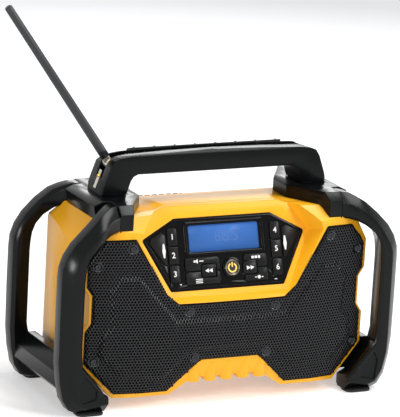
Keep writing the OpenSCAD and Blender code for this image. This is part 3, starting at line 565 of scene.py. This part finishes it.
# The half-round bezel around the display window, of the panel's own plastic.
bezel_half_w, bezel_half_h, bezel_corner, bezel_up = 53 * mm, 20.6 * mm, 5 * mm, 61.44 * mm
form = bmesh.new()
corners = bmesh.ops.create_grid(form, x_segments=1, y_segments=1, size=1)["verts"]
bmesh.ops.scale(form, vec=(bezel_half_w, bezel_half_h, 1), verts=corners)
bmesh.ops.bevel(form, geom=corners, offset=bezel_corner, offset_type="OFFSET", affect="VERTICES",
                segments=6, profile=0.5, material=-1)
bmesh.ops.translate(form, vec=(0, bezel_up, 0), verts=form.verts)
panel_ring("display_bezel", form, 4.2 * mm, 1.7 * mm, gloss_black, "radio")

# The trim ring of the power button, plated dark, so that it shows as a warm grey line.
button_at, button_r, button_rim = Vector((7.2, 23.97, 0)) * mm, 9.6 * mm, Vector((0, 0, 1.6)) * mm
gunmetal = metal("gunmetal_trim", "#6B6558", 0.25, 1 * mm)
form = bmesh.new()
bmesh.ops.create_circle(form, cap_ends=True, segments=48, radius=button_r)
bmesh.ops.translate(form, vec=button_at + button_rim, verts=form.verts)
panel_ring("power_trim", form, 1.5 * mm, 1.3 * mm, gunmetal, "power_button")

# Pad-printed marks, and the segments of the display that are faint because they are unlit.
print_t, stroke_gain = 0.04 * mm, 0.12 * mm
white_print = lit("white_pad_print", "#E8E8E6", 0.1)
blue_segment = lit("unlit_segment", "#335E9E", 0.05)
gold_print = lit("gold_backlit_print", "#F2C558", 0.35)


def printed(name, outlines, body, height, material=white_print):
    """A mark printed on the panel or on a key: flat outlines in panel millimetres."""
    form = bmesh.new()
    for outline in outlines:
        face = form.faces.new([form.verts.new(Vector((u, v, height)) * mm) for u, v in outline])
        raised = bmesh.ops.extrude_face_region(form, geom=[face])["geom"]
        bmesh.ops.translate(form, verts=[v for v in raised if isinstance(v, bmesh.types.BMVert)],
                            vec=(0, 0, print_t))
    bmesh.ops.recalc_face_normals(form, faces=form.faces)
    bmesh.ops.transform(form, matrix=panel_place, verts=form.verts)
    return new_piece(name, form, material, body, smooth=False)


def printed_number(name, text, u, v, size, body, height, material=white_print):
    """A number printed on the panel or on a key, centred on a place in panel millimetres."""
    letters = bpy.data.curves.new(name, "FONT")
    letters.body = text
    letters.size = size * mm
    letters.align_x = "CENTER"
    letters.align_y = "CENTER"
    letters.offset = stroke_gain
    flat = bpy.data.objects.new(name, letters)
    scene.collection.objects.link(flat)
    mesh = bpy.data.meshes.new_from_object(flat.evaluated_get(bpy.context.evaluated_depsgraph_get()))
    bpy.data.objects.remove(flat)
    form = bmesh.new()
    form.from_mesh(mesh)
    bmesh.ops.translate(form, verts=form.verts, vec=Vector((u, v, height)) * mm)
    bmesh.ops.transform(form, matrix=panel_place, verts=form.verts)
    return new_piece(name, form, material, body, smooth=False)


def bar(u0, v0, u1, v1):
    """An upright rectangle between two corners."""
    return [(u0, v0), (u1, v0), (u1, v1), (u0, v1)]


def triangle(u, v, size, way):
    """A triangle that points to the right where way is 1, and to the left where it is -1."""
    tip, base = u + way * size / 2, u - way * size / 2
    return [(tip, v), (base, v + size / 2), (base, v - size / 2)][::-way]


def disc(u, v, radius, sides=8):
    """A small round dot."""
    turns = [side * 2 * pi / sides for side in range(sides)]
    return [(u + radius * cos(turn), v + radius * sin(turn)) for turn in turns]


# Places and sizes of the marks are in panel millimetres, U across from the middle and V upwards.
key_top, number_size = 1.4, 9.5
number_at = [(side * 68.3, v) for side in (-1, 1) for v in (65.3, 43, 20.7)]
for number, (u, v) in enumerate(number_at, start=1):
    printed_number("number_%d" % number, str(number), u, v, number_size, presets[number - 1],
                   key_top + 0.03)
for key, way, u in (("seek_back", -1, -23.8), ("seek_forward", 1, 31.6)):
    arrows = [triangle(u + 2.6 * way, 22.5, 5, way), triangle(u - 2.4 * way, 22.5, 5, way)]
    printed(key + "_mark", arrows, key + "_key", key_top)
for key, u in (("tune", -80.5), ("volume", 80.5)):
    spindle = [(u - 0.9, 41), (u + 0.9, 41), (u + 2.2, 49), (u + 0.9, 58), (u - 0.9, 58), (u - 2.2, 49)]
    printed(key + "_mark", [spindle], key + "_rocker", key_top)
horn = [(-40, 33.4), (-37.6, 31.6), (-37.6, 37.2), (-40, 35.4)]
printed("mute_mark", [bar(-43, 33.2, -40.4, 35.6), horn, bar(-35.6, 33.8, -30, 35)], "mute_key", key_top)
printed("menu_mark", [bar(-42, v, -33, v + 0.9) for v in (8.2, 10.2, 12.2)], "menu_key", key_top)
printed("mode_mark", [bar(u, 33.2, u + 3, 36.2) for u in (34, 38.2, 42.4)], "mode_key", key_top)
printed("light_mark", [disc(42, 10.5, 2.2), bar(36.4, 10, 38.8, 11), bar(45.2, 10, 47.6, 11)],
        "light_key", key_top)
printed("lamp_left", [bar(-62.6, 7.4, -60.6, 8.6)], "radio", 0)
printed("lamp_right", [bar(63, 6.2, 66.5, 7.0)], "radio", 0)
printed_number("display_digits", "88.5", 4, 62.5, 19, "radio", -0.37, blue_segment)

# The power mark: a broken ring with a stroke through the gap, printed in the dish of the button.
ring_r, ring_w, hub, gap_half = 6 * mm, 1.8 * mm, 1 * mm, 2.3 * mm
stroke_half_w, stroke_half_h, stroke_up = 0.8 * mm, 3 * mm, 3.6 * mm
dish_top = Vector((0, 0, 2.05)) * mm
form = bmesh.new()
bmesh.ops.create_circle(form, cap_ends=True, segments=40, radius=ring_r)
bmesh.ops.inset_region(form, faces=form.faces[:], thickness=ring_w, use_boundary=True)
spare = []
for face in form.faces:
    middle = face.calc_center_median()
    if middle.length < hub or (middle.y > 0 and abs(middle.x) < gap_half):
        spare.append(face)
bmesh.ops.delete(form, geom=spare, context="FACES")
stroke = bmesh.ops.create_grid(form, x_segments=1, y_segments=1, size=1)["verts"]
bmesh.ops.scale(form, vec=(stroke_half_w, stroke_half_h, 1), verts=stroke)
bmesh.ops.translate(form, vec=(0, stroke_up, 0), verts=stroke)
bmesh.ops.transform(form, matrix=panel_place @ Matrix.Translation(button_at + dish_top), verts=form.verts)
new_piece("power_mark", form, gold_print, "power_button", smooth=False)


# ------------------------------------------------------------------ roll cage
# Four thick-walled bars of black glass-filled nylon, joined by a shoulder and a foot rail on
# each side. The mould leaves a satin skin with bright lines along its edges.
black_nylon = moulded("glass_filled_black_nylon", "#070809", 0.21, 0.8 * mm, 0.1, edge=1.5 * mm,
                      specular=0.16)
tongue_in, tongue_out, tongue_y, underside = 143, 147.5, 60, 219


def trim_tongue(shoulder):
    """Ends the thin tongue beside the housing's seam level with the shoulder's underside."""
    for vertex in shoulder.data.vertices:
        x, y, z = vertex.co / mm
        if tongue_in < abs(x) < tongue_out and abs(y) > tongue_y and z < underside:
            vertex.co.z = underside * mm


for side in ("left", "right"):
    for part, width in (("front_bar", 2.2), ("rear_bar", 2.2), ("shoulder", 1.2), ("foot_rail", 1.5)):
        made = dressed(part + "_" + side, black_nylon, width=width * mm, steps=3)
        if part == "shoulder":
            trim_tongue(made)

# Rubber feet, dull and slightly rough, and zinc-plated screws with a soft blue-grey shine.
black_rubber = moulded("black_rubber", "#161616", 0.75, 0.6 * mm, 0.4)
dressed("rubber_feet", black_rubber, width=0.6 * mm)
zinc = metal("zinc_plated_steel", "#A9ABAD", 0.34, 1.5 * mm)
painted(["cage_screws", "shell_screws", "handle_bolts"], zinc)


# ------------------------------------------------------------------ carrying handle
# A box-section handle in black nylon with a channel along its top for the folded antenna,
# bolted up through the shoulders. A ribbed rubber grip clips over its rear edge.
handle_nylon = moulded("matt_black_nylon", "#060708", 0.26, 0.8 * mm, 0.12, edge=1.2 * mm, specular=0.14)
ribbed_tpe = moulded("ribbed_black_tpe", "#131313", 0.6, 0.7 * mm, 0.3)
bar_frame = dressed("handle_frame", handle_nylon, width=1.6 * mm, steps=3)
grip = dressed("handle_grip", ribbed_tpe, width=0.8 * mm)

# The step at each end of the bar stands further out, and the top falls away to the rear.
step_x, step_moved_x, step_foot, step_top = 134, 138.8, 283.5, 290
crest_y, fall_foot, fall = 8.2, 285, 0.3
for made in (bar_frame, grip):
    for vertex in made.data.vertices:
        x, y, z = vertex.co / mm
        if abs(abs(x) - step_x) < 0.4 and step_foot < z < step_top:
            vertex.co.x *= step_moved_x / step_x
        if y > crest_y and z > fall_foot:
            vertex.co.z -= (y - crest_y) * fall * mm

# Light grey ticks along the grip's rear edge, one at each rib: a painted highlight that stands for the
# light caught by the ridges between the finger grooves.
rib_count, rib_pitch, rib_size = 8, 27, Vector((2, 3, 1.6)) * mm
rib_y, rib_z = 12, 298.7
# This light grey is a painted highlight, not the colour of any nylon in the handle.
rib_highlight_grey = moulded("rib_highlight_grey", "#9C9EA0", 0.4, 1 * mm, 0.1)
for number in range(rib_count):
    x = (number - (rib_count - 1) / 2) * rib_pitch
    form = bmesh.new()
    rib = bmesh.ops.create_cube(form, size=1)["verts"]
    bmesh.ops.scale(form, vec=rib_size, verts=rib)
    bmesh.ops.translate(form, vec=Vector((x, rib_y, rib_z)) * mm, verts=rib)
    new_piece("rib_highlight_tick_%d" % (number + 1), form, rib_highlight_grey, "radio", smooth=False)


# ------------------------------------------------------------------ antenna
# A whip in a grey-black rubber sleeve. Its knuckle, of plated brass, turns on a steel pin
# through the left leg of the handle.
sleeve_rubber = moulded("grey_black_rubber_sleeve", "#1B1D20", 0.38, 0.9 * mm, 0.2)
whip = dressed("antenna_rod", sleeve_rubber, width=0)

# The sleeve is as thick as its collar, and only its rounded end is thinner.
hinge, whip_lean = Vector((-131, 0, 284)) * mm, radians(35.5)
collar_end, sleeve_end, core_r, sleeve_r = 11 * mm, 238 * mm, 4 * mm, 5.6 * mm
along = Vector((-sin(whip_lean), 0, cos(whip_lean)))
for vertex in whip.data.vertices:
    reach = (vertex.co - hinge).dot(along)
    out = vertex.co - hinge - along * reach
    if collar_end < reach < sleeve_end and out.length > core_r:
        vertex.co = hinge + along * reach + out.normalized() * sleeve_r
brass = metal("brass_blade", "#D2AE5A", 0.22, 1 * mm)
nickel = metal("nickel_plated_brass", "#C9C2B4", 0.28, 1.5 * mm)
painted(["antenna_knuckle"], nickel)
painted(["antenna_pin", "door_pin"], zinc)

# The spring blade that holds the antenna up, let into the outer face of the leg, and its rivet.
blade_size, blade_at, leg_lean = Vector((0.9, 6.5, 23)) * mm, Vector((-145.3, 0, 266)) * mm, radians(19.9)
rivet_r, rivet_at = 2.5 * mm, Vector((-144.0, 0, 270)) * mm
form = bmesh.new()
blade = bmesh.ops.create_cube(form, size=1)["verts"]
bmesh.ops.scale(form, vec=blade_size, verts=blade)
bmesh.ops.transform(form, matrix=Matrix.Translation(blade_at) @ Matrix.Rotation(leg_lean, 4, "Y"),
                    verts=blade)
new_piece("hinge_blade", form, nickel, "radio", smooth=False)
form = bmesh.new()
bmesh.ops.create_uvsphere(form, u_segments=16, v_segments=10, radius=rivet_r)
bmesh.ops.translate(form, vec=rivet_at, verts=form.verts)
new_piece("hinge_rivet", form, brass, "radio")


# ------------------------------------------------------------------ battery bay
# The rear door is moulded in black nylon with finger ribs, sealed by a rubber gasket and held
# by a ribbed slide on the slope above it. Brass blades stand in the terminal block.
for part in ("battery_door", "door_latch"):
    dressed(part, handle_nylon, width=0.6 * mm)
painted(["terminal_block"], handle_nylon)
painted(["door_seal"], black_rubber)
painted(["contact_blades"], brass)
